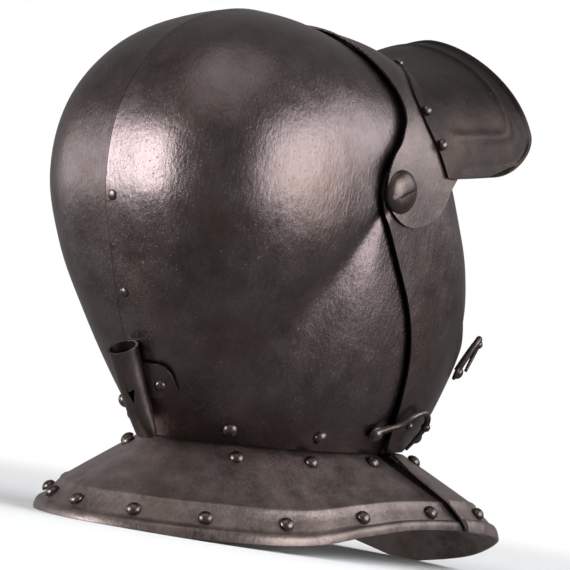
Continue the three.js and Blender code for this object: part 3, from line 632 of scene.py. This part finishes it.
# Neck plates
# Flared skirts of sheet steel: one round the back and sides of the neck, riveted inside the skull's lower
# edge, and the front gorget, riveted to the bevor and lapping over the first.
# Both have a creased border and a turned edge.
NECK_WALL = 1.6
NECK_EDGE_ROUND = 0.4
NECK_REACH = 220
NECK_LAP_DROP = 0.09
NECK_CENTRE = 5
NECK_INSET = 5.2
GORGET_OUTSET = 0.1
GORGET_LIFT = 2.4
GORGET_END = 51
NECK_END = 40
NECK_STEPS = 150
GORGET_STEPS = 70
NECK_FLARE = [
    # bearing, out, drop
    (0, 72, 76.5), (20, 73, 64), (36, 70, 48), (50, 55, 42), (65, 44, 41), (90, 40, 45), (115, 47, 51.5),
    (140, 56, 52.5), (160, 59, 52.5), (180, 60, 52),
]
NECK_OUTSIDE = [
    # out, drop, wall, tilt
    (0, -0.16, 0.6, 0), (0, 0, 0.6, 0), (0.02, 0.03, 0.75, 0.4), (0.05, 0.06, 0.9, 0.8), (0.08, 0.09, 1, 1),
    (0.3, 0.265, 1, 1), (0.55, 0.465, 1, 1), (0.74, 0.625, 1.1, 1), (0.765, 0.644, 1.45, 1),
    (0.785, 0.667, 1.5, 1), (0.8, 0.69, 1.1, 1), (0.87, 0.78, 1.05, 1), (0.93, 0.857, 1.05, 1),
    (0.955, 0.893, 1.1, 1), (0.965, 0.907, 1.65, 1),
    (0.978, 0.925, 1.95, 0.95), (0.992, 0.946, 2, 0.8), (1.003, 0.972, 1.8, 0.45), (1.01, 1, 1.4, 0),
]
NECK_INSIDE = [
    # the same columns
    (1.008, 1, 0.3, 0), (1, 0.975, 0, 0.7), (0.97, 0.92, 0, 1), (0.94, 0.87, 0, 1), (0.78, 0.66, 0, 1),
    (0.4, 0.35, 0, 1), (0.08, 0.09, 0, 1), (0, 0, 0, 0), (0, -0.16, 0, 0),
]


def neck_reach(bearing, offset):
    """How far out the head's surface lies at the neck line, along a bearing from the front."""
    sine, cosine = abs(math.sin(math.radians(bearing))), math.cos(math.radians(bearing))

    def inside(reach):
        """Whether a point of the bearing still lies inside the surface."""
        return reach * sine < side_at(NECK_CENTRE + reach * cosine, NECK_LINE, offset)

    return last_inside(0, NECK_REACH, inside)


def neck_line(bearing, lift, offset):
    """The section of a neck plate along a bearing: down its outside and up its inside."""
    turned = abs((bearing + 180) % 360 - 180)
    out, drop = along(NECK_FLARE, 1, turned), along(NECK_FLARE, 2, turned)
    steep = math.atan2(drop, out)
    start = neck_reach(bearing, offset)
    points = []
    for row_out, row_drop, wall, tilt in NECK_OUTSIDE + NECK_INSIDE:
        raised = lift * smoothstep(row_drop, 0, NECK_LAP_DROP) + NECK_WALL * wall
        reach = start + row_out * (out - offset) + raised * (1 - tilt * (1 - math.sin(steep)))
        up = NECK_LINE - row_drop * drop + raised * tilt * math.cos(steep)
        forward = NECK_CENTRE + reach * math.cos(math.radians(bearing))
        points.append(Vector((-reach * math.sin(math.radians(bearing)), forward, up)))
    return points


def neck_skirt(start, end, steps, lift, offset):
    """A neck plate between two bearings, with its rim level where it stands."""
    bearings = [start + (end - start) * i / steps for i in range(steps + 1)]
    bm = looped(bearings, lambda bearing: neck_line(bearing, lift, offset))
    for vert in bm.verts:
        vert.co.z = max(vert.co.z, 0)
    return bm


# The neck plates carry more rust than the other plates, which is their own; their light tone is set far
# lighter and less metallic than the other plates': painted light, for the light on the flares.
neck_steel = worn_steel("neck_steel", dark=(0.055, 0.04, 0.036), light=(0.25, 0.2, 0.187), rough=0.4,
                        rust=0.26, dents=1.2, metal=0.75)
neck_mesh = neck_skirt(NECK_END, 360 - NECK_END, NECK_STEPS, 0, -NECK_INSET)
neck_plate = finished("neck_skirt", neck_mesh, "skull", ["neck_plate"], neck_steel)
rounded(neck_plate, NECK_EDGE_ROUND)
gorget_mesh = neck_skirt(-GORGET_END, GORGET_END, GORGET_STEPS, GORGET_LIFT, GORGET_OUTSET)
gorget_plate = finished("gorget_skirt", gorget_mesh, "bevor", ["front_gorget"], neck_steel)
rounded(gorget_plate, NECK_EDGE_ROUND)

# Rivets
# Forged rivets with domed heads, each a little different, on the seam, the plates' edges and the borders.
# Each sits where its node stands, square to the plate under it.
RIVET_SINK = 0.8
RIVET_SINK_SLOPE = 4
RIVET_SPREAD = 0.06
RIVET_TALL = 1.15
RIVET_FOOT = 0.05
DOME_SIDES = 20
DOME_RINGS = 12
DOME_POWER = 1.15
spread = random.Random(4)
rivet_steel = worn_steel("rivet_steel", dark=(0.075, 0.057, 0.053), light=(0.15, 0.122, 0.115), rough=0.32,
                         rust=0.1, dents=0.4)


def rivet_seat(node):
    """Centre, outward normal, radius and height of a rivet's head, from the flat underside of its node."""
    mesh = frame["nodes"][node].data
    flat = max(mesh.polygons, key=lambda face: face.area)
    normal = -flat.normal
    heights = [(vert.co - flat.center).dot(normal) for vert in mesh.vertices]
    foot = [vert.co for vert, height in zip(mesh.vertices, heights) if height < RIVET_FOOT * MM]
    low = Vector([min(p[i] for p in foot) for i in range(3)])
    high = Vector([max(p[i] for p in foot) for i in range(3)])
    centre = (low + high) / 2
    return centre, normal, max((p - centre).length for p in foot), max(heights) * RIVET_TALL


def add_dome(bm, centre, normal, radius, height):
    """One domed head, sunk a little into its plate."""
    grown = bmesh.ops.create_uvsphere(bm, u_segments=DOME_SIDES, v_segments=DOME_RINGS, radius=1)["verts"]
    size = radius * (1 + spread.uniform(-RIVET_SPREAD, RIVET_SPREAD))
    tall = height * (1 + spread.uniform(-RIVET_SPREAD, RIVET_SPREAD))
    for vert in grown:
        rise = vert.co.z
        sunk = -RIVET_SINK * MM * min(-rise * RIVET_SINK_SLOPE, 1)
        lift = tall * abs(rise) ** DOME_POWER if rise > 0 else sunk
        vert.co = Vector((vert.co.x * size, vert.co.y * size, lift))
    turn = Vector((0, 0, 1)).rotation_difference(normal).to_matrix().to_4x4()
    bmesh.ops.transform(bm, matrix=Matrix.Translation(centre) @ turn, verts=grown)


RIVET_ROWS = [
    # piece, body, starts of the nodes' names
    ("skull_rivets", "skull", ("skull_base_rivet", "seam_rivet", "plume_rivet")),
    ("neck_rivets", "skull", ("neck_top_rivet", "neck_border_rivet")),
    ("bevor_rivets", "bevor", ("bevor_rivet", "gorget_rivet", "gorget_top_rivet", "side_hook_stud")),
    ("peak_rivets", "peak", ("peak_rivet",)),
]
for row_name, body, starts in RIVET_ROWS:
    nodes = sorted(node for node in frame["nodes"] if node.startswith(starts))
    rivets = bmesh.new()
    for node in nodes:
        add_dome(rivets, *rivet_seat(node))
    finished(row_name, rivets, body, nodes, rivet_steel)

# Pivot screws
# One forged steel screw on each side holds all the face plates on the skull.
# Its head is a low dome with a slot cut across it.
SCREW_RADIUS = 13
SCREW_HEIGHT = 5
SCREW_SIDES = 48
SCREW_EDGE_ROUND = 0.25
SCREW_SEAT = HALF_WIDTH + BROW_PIVOT_OFFSET + PLATE_WALL
SLOT_WIDTH = 2.2
SLOT_DEPTH = 2
SLOT_LENGTH = 3 * SCREW_RADIUS
SLOT_TURN = math.radians(-28)
SCREW_PROFILE = [
    # share of the radius, share of the height
    (0, 1), (0.3, 0.96), (0.55, 0.85), (0.78, 0.62), (0.92, 0.34), (0.98, 0.14), (1, 0), (1, -0.35),
]
fitting_steel = worn_steel("fitting_steel", dark=(0.06, 0.046, 0.043), light=(0.12, 0.096, 0.09), rough=0.36,
                           rust=0.08, dents=0.5)
for screw_name, hand in (("pivot_screw_right", -1), ("pivot_screw_left", 1)):
    screw = bmesh.new()
    ring = [screw.verts.new((hand * (SCREW_SEAT + rise * SCREW_HEIGHT) * MM, 0, out * SCREW_RADIUS * MM))
            for out, rise in SCREW_PROFILE]
    edges = [screw.edges.new(pair) for pair in zip(ring, ring[1:])]
    bmesh.ops.spin(screw, geom=ring + edges, cent=(0, 0, 0), axis=(1, 0, 0), angle=math.tau,
                   steps=SCREW_SIDES, use_merge=True)
    bmesh.ops.remove_doubles(screw, verts=screw.verts, dist=MERGE_DISTANCE)
    bmesh.ops.holes_fill(screw, edges=[edge for edge in screw.edges if edge.is_boundary], sides=0)
    bmesh.ops.recalc_face_normals(screw, faces=screw.faces)
    slot = bmesh.new()
    bmesh.ops.create_cube(slot, size=1)
    bmesh.ops.scale(slot, verts=slot.verts, vec=(2 * SLOT_DEPTH * MM, SLOT_LENGTH * MM, SLOT_WIDTH * MM))
    bmesh.ops.transform(slot, matrix=Matrix.Rotation(SLOT_TURN, 4, "X"), verts=slot.verts)
    bmesh.ops.translate(slot, verts=slot.verts, vec=(hand * (SCREW_SEAT + SCREW_HEIGHT) * MM, 0, 0))
    screw = cut_by(screw, slot, "DIFFERENCE")
    bmesh.ops.translate(screw, verts=screw.verts, vec=(0, PIVOT.y, PIVOT.z))
    screw_head = finished(screw_name + "_head", screw, "skull", [screw_name], fitting_steel)
    rounded(screw_head, SCREW_EDGE_ROUND)

# Swing hooks
# Two hooks of bent steel wire with a knob at the bend swing on rivets at the right: one holds the bevor to
# the skull, the other holds the visor to the bevor.
HOOK_ROOT_WIRE = 2.185
HOOK_WIRE = 1.9
HOOK_BEND_WIRE = 1.71
HOOK_TIP_WIRE = 0.98
HOOK_KNOB = 2.9
HOOK_EYE_RADIUS = 5.2
HOOK_EYE_SIDES = 32
HOOK_EYE_WALL = 2.2
HOOK_EYE_ROUND = 0.7
HOOK_EYE_ROUND_STEPS = 3
HOOK_EYE_LIFT = 2.7
HOOK_RIVET_SEAT = 3.9
HOOK_RIVET_RADIUS = 4.1
HOOK_RIVET_HEIGHT = 2.9
WIRE_STEPS = 8
WIRE_SIDES = 12
SIDE_ROUTE = [
    # forward, up and off the skull
    (33, -144, 3.4), (40, -141, 5), (46, -138.5, 6.6), (52, -133, 8), (60, -130, 9), (66, -133, 9.6),
    (69, -139, 9.6),
]
SIDE_TIP = [(69, -139, 9.6), (67, -146, 8.8), (64.5, -154, 8)]
FRONT_ROUTE = [
    (104, -104, 6.6), (106, -97, 8), (109, -90, 10), (112, -85, 12), (115, -83, 13), (117, -86.5, 13.4),
]
FRONT_TIP = [(117, -86.5, 13.4), (116, -93, 12.6), (112, -104, 11.4)]
HOOKS = [
    # name, joint, body of its rivet, route and tip
    ("side_hook", "side_hook_swing", "skull", SIDE_ROUTE, SIDE_TIP),
    ("front_hook", "front_hook_swing", "bevor", FRONT_ROUTE, FRONT_TIP),
]


def hook_points(route):
    """Close points of a wire's route on the right side of the head."""
    spots = [place(-side_at(forward, up, off), forward, up) for forward, up, off in route]
    rows = [(i, *spot) for i, spot in enumerate(spots)]
    count = (len(route) - 1) * WIRE_STEPS
    return [Vector([along(rows, k, i / WIRE_STEPS) for k in (1, 2, 3)]) for i in range(count + 1)]


def add_wire(bm, points, radius, end):
    """A round wire along close points, from one radius to another."""
    rings = []
    across = (points[1] - points[0]).orthogonal().normalized()
    for i, spot in enumerate(points):
        run = (points[min(i + 1, len(points) - 1)] - points[max(i - 1, 0)]).normalized()
        across = (across - run * across.dot(run)).normalized()
        other = run.cross(across)
        size = (radius + (end - radius) * i / (len(points) - 1)) * MM
        ring = []
        for k in range(WIRE_SIDES):
            turn = math.tau * k / WIRE_SIDES
            ring.append(bm.verts.new(spot + (across * math.cos(turn) + other * math.sin(turn)) * size))
        rings.append(ring)
    for first, second in zip(rings, rings[1:]):
        for k in range(WIRE_SIDES):
            n = (k + 1) % WIRE_SIDES
            bm.faces.new((first[k], first[n], second[n], second[k]))
    bm.faces.new(list(reversed(rings[0])))
    bm.faces.new(rings[-1])


for hook_name, joint_name, rivet_body, route, tip in HOOKS:
    axis = Vector(JOINTS[joint_name]["axis"]).normalized()
    seat = Vector(JOINTS[joint_name]["pos_m"])
    stood = Vector((0, 0, 1)).rotation_difference(axis).to_matrix().to_4x4()
    hook = bmesh.new()
    add_wire(hook, hook_points(route), HOOK_ROOT_WIRE, HOOK_WIRE)
    add_wire(hook, hook_points(tip), HOOK_BEND_WIRE, HOOK_TIP_WIRE)
    knob = Matrix.Translation(hook_points(tip)[0])
    bmesh.ops.create_uvsphere(hook, u_segments=DOME_SIDES, v_segments=DOME_RINGS, radius=HOOK_KNOB * MM,
                              matrix=knob)
    grown = bmesh.ops.create_cone(hook, cap_ends=True, segments=HOOK_EYE_SIDES, radius1=HOOK_EYE_RADIUS * MM,
                                  radius2=HOOK_EYE_RADIUS * MM, depth=HOOK_EYE_WALL * MM)
    rims = [edge for edge in {edge for vert in grown["verts"] for edge in vert.link_edges}
            if abs(edge.verts[0].co.z - edge.verts[1].co.z) < MERGE_DISTANCE]
    eye = Matrix.Translation(seat + axis * HOOK_EYE_LIFT * MM) @ stood
    rounded_eye = bmesh.ops.bevel(hook, geom=rims, offset=HOOK_EYE_ROUND * MM, affect="EDGES",
                                  segments=HOOK_EYE_ROUND_STEPS, profile=0.5, material=-1)
    corner = {vert for face in rounded_eye["faces"] for vert in face.verts}
    bmesh.ops.transform(hook, matrix=eye, verts=list(corner))
    hook.normal_update()
    finished(hook_name + "_wire", hook, hook_name, [hook_name], fitting_steel)
    rivet = bmesh.new()
    add_dome(rivet, seat + axis * HOOK_RIVET_SEAT * MM, axis, HOOK_RIVET_RADIUS * MM, HOOK_RIVET_HEIGHT * MM)
    finished(hook_name + "_rivet_head", rivet, rivet_body, [hook_name + "_rivet"], rivet_steel)

# Plume holder
# A tapered tube rolled from sheet steel, open at the top and pinched at its foot, on a tab riveted to the
# skull. A small three-cornered hole is cut in its side.
PLUME_SIDE = -7
PLUME_MOUTH = place(PLUME_SIDE, -119, -107.5)
PLUME_FOOT = place(PLUME_SIDE, -91, -158)
PLUME_RADIUS = 9
PLUME_WALL = 1.4
PLUME_SIDES = 40
PLUME_EDGE_ROUND = 0.3
PLUME_PROFILE = [
    # share of the radius, share of the length
    (0.66, 0), (0.76, 0.03), (0.81, 0.12), (0.84, 0.3), (0.88, 0.5), (0.93, 0.75), (0.98, 0.94),
    (1.03, 0.985), (1.03, 1),
]
PLUME_HOLE = [
    # across and up, from the hole's middle
    (-2.3, 4.6), (2.3, 3.22), (0.5, -4.6),
]
PLUME_HOLE_RISE = 0.5
PLUME_HOLE_TURN = math.radians(35)
PLUME_PINCH = 0.4
PLUME_PINCH_WIDENS = 0.14
PLUME_PINCH_ENDS = 0.35
TAB_FROM, TAB_TO = 1, 29
TAB_HIGH, TAB_LOW = -115.5, -135.5
TAB_COLUMNS, TAB_ROWS = 32, 22
TAB_GAP = 2
TAB_WALL = 1.6
TAB_ROUND = 7
SKULL_BACK, SKULL_MIDDLE = -220, -40


def back_forward(side, up, offset):
    """The skull's back, as distance forward at a place to the side and a height."""
    return last_inside(SKULL_MIDDLE, SKULL_BACK, lambda forward: side < side_at(forward, up, offset))


plume_axis = PLUME_MOUTH - PLUME_FOOT
plume_turn = Vector((0, 0, 1)).rotation_difference(plume_axis.normalized()).to_matrix().to_4x4()
tube = bmesh.new()
ring = [tube.verts.new((share * PLUME_RADIUS * MM, 0, rise * plume_axis.length))
        for share, rise in PLUME_PROFILE]
ring += [tube.verts.new(((share * PLUME_RADIUS - PLUME_WALL) * MM, 0, rise * plume_axis.length))
         for share, rise in reversed(PLUME_PROFILE[1:])]
ring.append(tube.verts.new((0, 0, PLUME_PROFILE[1][1] * plume_axis.length)))
ring.insert(0, tube.verts.new((0, 0, 0)))
edges = [tube.edges.new(pair) for pair in zip(ring, ring[1:])]
bmesh.ops.spin(tube, geom=ring + edges, cent=(0, 0, 0), axis=(0, 0, 1), angle=math.tau, steps=PLUME_SIDES,
               use_merge=True)
bmesh.ops.remove_doubles(tube, verts=tube.verts, dist=MERGE_DISTANCE)
bmesh.ops.recalc_face_normals(tube, faces=tube.faces)
for vert in tube.verts:
    pinch = 1 - smoothstep(vert.co.z / plume_axis.length, 0, PLUME_PINCH_ENDS)
    vert.co.y *= 1 - PLUME_PINCH * pinch
    vert.co.x *= 1 + PLUME_PINCH_WIDENS * pinch
notch = bmesh.new()
ring = [notch.verts.new((x * MM, 0, z * MM + PLUME_HOLE_RISE * plume_axis.length)) for x, z in PLUME_HOLE]
grown = bmesh.ops.extrude_face_region(notch, geom=[notch.faces.new(ring)])
moved = [item for item in grown["geom"] if isinstance(item, bmesh.types.BMVert)]
bmesh.ops.translate(notch, verts=moved, vec=(0, 2 * PLUME_RADIUS * MM, 0))
bmesh.ops.recalc_face_normals(notch, faces=notch.faces)
bmesh.ops.transform(notch, matrix=Matrix.Rotation(PLUME_HOLE_TURN, 4, "Z"), verts=notch.verts)
tube = cut_by(tube, notch, "DIFFERENCE")
bmesh.ops.transform(tube, matrix=Matrix.Translation(PLUME_FOOT) @ plume_turn, verts=tube.verts)
tab = bmesh.new()
bmesh.ops.create_grid(tab, x_segments=TAB_COLUMNS, y_segments=TAB_ROWS, size=0.5)
for vert in tab.verts:
    side = TAB_FROM + (TAB_TO - TAB_FROM) * (vert.co.x + 0.5)
    tall = vert.co.y * (TAB_HIGH - TAB_LOW)
    x = 1 - (TAB_TO - side) / TAB_ROUND
    y = 1 - ((TAB_HIGH - TAB_LOW) / 2 - abs(tall)) / TAB_ROUND
    if x > 0 and y > 0:
        side = TAB_TO - TAB_ROUND * (1 - x * math.sqrt(1 - y * y / 2))
        drawn = TAB_ROUND * (1 - y * math.sqrt(1 - x * x / 2))
        tall = math.copysign((TAB_HIGH - TAB_LOW) / 2 - drawn, tall)
    up = (TAB_HIGH + TAB_LOW) / 2 + tall
    vert.co = place(-side, back_forward(side, up, TAB_GAP + TAB_WALL), up)
bmesh.ops.recalc_face_normals(tab, faces=tab.faces)
if sum(face.normal.y for face in tab.faces) < 0:
    bmesh.ops.reverse_faces(tab, faces=tab.faces)
plume_tube = finished("plume_tube", tube, "skull", ["plume_holder"], fitting_steel)
rounded(plume_tube, PLUME_EDGE_ROUND)
plume_tab = finished("plume_tab", tab, "skull", ["plume_holder"], fitting_steel)
thickened(plume_tab, TAB_WALL)

# Floor, light and camera
# A pale floor that fades to white, a large soft light and a weaker rim light on each side and one overhead,
# and a long lens at the back and right of the helmet, a little above the floor.
EYE = Vector((-1.2765, 1.4239, 0.0766))
AIM = Vector((-0.0114, 0.0086, 0.1567))
ROLL = math.radians(9.35)
LENS = 197.3
CENTRE = Vector((0, 0.01, 0.17))
SENSOR = 36
FLOOR_SIZE = 30
FLOOR_FADE = (0.25, 1.1)
FLOOR_COLOUR = (0.92, 0.92, 0.92, 1)
FLOOR_ROUGHNESS = 0.9
SOFT_COLOUR = (1, 0.985, 0.98, 1)
SOFT_STRENGTH = 0.3
LIGHT_COLOUR = (0.95, 0.97, 1)
floor_mesh = bmesh.new()
bmesh.ops.create_grid(floor_mesh, x_segments=2, y_segments=2, size=FLOOR_SIZE)
mesh = bpy.data.meshes.new("floor")
floor_mesh.to_mesh(mesh)
floor_mesh.free()
floor = bpy.data.objects.new("floor", mesh)
bpy.context.collection.objects.link(floor)
pale = Paint("pale_floor")
pale.fill(pale.shader, {"Base Color": FLOOR_COLOUR, "Roughness": FLOOR_ROUGHNESS})
spot = pale.node("ShaderNodeTexCoord", {}, {}, "Object")
reach = pale.node("ShaderNodeVectorMath", {"operation": "LENGTH"}, {0: spot}, "Value")
fade = pale.node("ShaderNodeMapRange", {"interpolation_type": "SMOOTHSTEP"},
                 {"Value": reach, "From Min": FLOOR_FADE[0], "From Max": FLOOR_FADE[1]})
glow = pale.node("ShaderNodeEmission", {}, {"Color": (1, 1, 1, 1), "Strength": 1.0})
ending = pale.node("ShaderNodeMixShader", {}, {0: fade, 1: Value(pale, pale.shader.outputs[0]), 2: glow})
pale.fill(pale.tree.nodes["Material Output"], {"Surface": ending})
mesh.materials.append(pale.material)
floor.visible_glossy = False

world = bpy.data.worlds.new("studio")
world.use_nodes = True
bpy.context.scene.world = world
tree = world.node_tree
seen = tree.nodes.new("ShaderNodeLightPath")
white = tree.nodes["Background"]
white.inputs["Color"].default_value = (1, 1, 1, 1)
white.inputs["Strength"].default_value = 1.0
soft = tree.nodes.new("ShaderNodeBackground")
soft.inputs["Color"].default_value = SOFT_COLOUR
soft.inputs["Strength"].default_value = SOFT_STRENGTH
either = tree.nodes.new("ShaderNodeMixShader")
tree.links.new(seen.outputs["Is Camera Ray"], either.inputs[0])
tree.links.new(soft.outputs[0], either.inputs[1])
tree.links.new(white.outputs[0], either.inputs[2])
tree.links.new(either.outputs[0], tree.nodes["World Output"].inputs["Surface"])

look = (AIM - EYE).to_track_quat("-Z", "Y") @ Quaternion((0, 0, 1), ROLL)
across, above, behind = (look @ Vector(axis) for axis in ((1, 0, 0), (0, 1, 0), (0, 0, 1)))
LIGHTS = [
    # name, across, above, towards the camera, distance, size, power
    ("left_light", -0.8, 0.18, 0.42, 1.3, 0.62, 20),
    ("left_rim", -0.95, 0.12, -0.25, 1.5, 0.6, 4),
    ("right_light", 0.86, 0.1, 0.45, 1.3, 0.85, 18),
    ("right_rim", 0.92, 0.3, -0.2, 1.5, 0.7, 7),
    ("overhead", 0.0, 0.93, 0.36, 1.5, 1.3, 6),
]
for light_name, right, up, near, distance, size, power in LIGHTS:
    data = bpy.data.lights.new(light_name, "AREA")
    data.size = size
    data.energy = power
    data.color = LIGHT_COLOUR
    light = bpy.data.objects.new(light_name, data)
    light.location = CENTRE + (across * right + above * up + behind * near).normalized() * distance
    light.rotation_euler = (CENTRE - light.location).to_track_quat("-Z", "Y").to_euler()
    bpy.context.collection.objects.link(light)

camera_data = bpy.data.cameras.new("camera")
camera_data.lens = LENS
camera_data.sensor_width = SENSOR
camera_data.clip_end = 100
camera = bpy.data.objects.new("camera", camera_data)
camera.location = EYE
camera.rotation_euler = look.to_euler()
bpy.context.collection.objects.link(camera)
bpy.context.scene.camera = camera
bpy.context.scene.view_settings.view_transform = "Standard"
